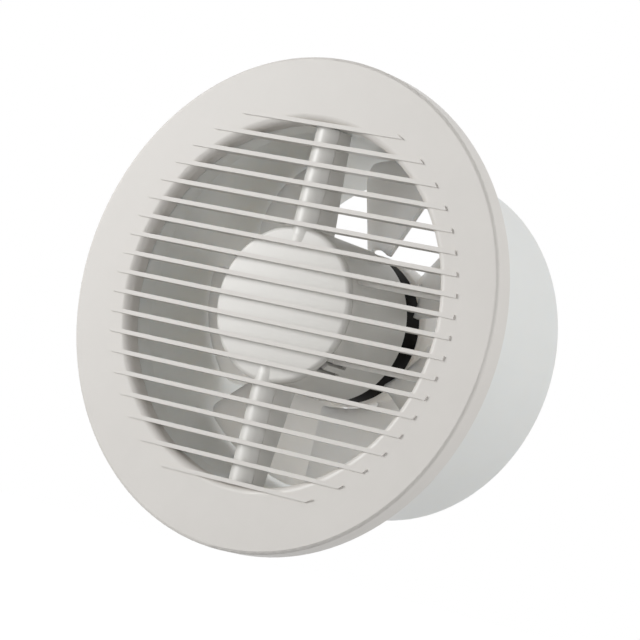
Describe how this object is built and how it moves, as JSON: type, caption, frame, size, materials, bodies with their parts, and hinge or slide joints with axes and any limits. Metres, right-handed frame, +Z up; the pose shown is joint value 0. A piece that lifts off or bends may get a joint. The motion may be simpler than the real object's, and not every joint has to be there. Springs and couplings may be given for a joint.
{
  "type": "bathroom exhaust fan",
  "caption": "Round wall-mounted axial bathroom exhaust fan with a slatted front cover, central motor pod on two arms, bladed impeller and a duct spigot.",
  "frame": {"origin": "where the fan axis meets the wall plane, at the rear face of the wall flange", "axes": "+Y along the fan axis into the duct, the slatted face looks towards -Y, +Z up, +X to the right seen from the front"},
  "size_m": [0.2, 0.0955, 0.2],
  "materials": {
    "face_white": "satin white moulding",
    "housing_white": "satin white moulding",
    "carrier_white": "satin white moulding",
    "impeller_grey": "matt pale grey moulding",
    "shield_black": "matt black moulding",
    "zinc_steel": "zinc-plated",
    "ground_steel": "ground",
    "lamination_steel": "varnished laminations",
    "die_cast": "as cast",
    "copper": "enamelled copper",
    "bearing_bronze": "sintered, oil-filled",
    "nylon_natural": "natural nylon",
    "lead_insulation": "flexible insulation",
    "black_rubber": "matt"
  },
  "bodies": {
    "housing": {"duct_housing": "housing_white", "motor_carrier": "carrier_white", "hub_cap": "carrier_white", "motor_shield": "shield_black", "carrier_screws": "zinc_steel", "motor_screws": "zinc_steel", "block_screws": "zinc_steel", "terminal_screws": "zinc_steel", "stator_core": "lamination_steel", "front_bracket": "die_cast", "rear_bracket": "die_cast", "coil_windings": "copper", "shading_rings": "copper", "front_bearing": "bearing_bronze", "rear_bearing": "bearing_bronze", "coil_bobbins": "nylon_natural", "terminal_block": "nylon_natural", "motor_leads": "lead_insulation", "cable_grommet": "black_rubber", "motor_dampers": "black_rubber"},
    "rotor": {"shaft": "ground_steel", "rotor_core": "lamination_steel", "rotor_end_rings": "die_cast", "thrust_spacers": "nylon_natural", "impeller": "impeller_grey", "impeller_nut": "zinc_steel"},
    "cover": {"front_cover": "face_white"}
  },
  "joints": [
    {"name": "impeller_spin", "type": "hinge", "parent": "housing", "child": "rotor", "pos_m": [0, 0.05, 0], "axis": [0, 1, 0], "continuous": true},
    {"name": "cover_pull", "type": "slide", "parent": "housing", "child": "cover", "axis": [0, -1, 0], "range_m": [0, 0.008]}
  ]
}
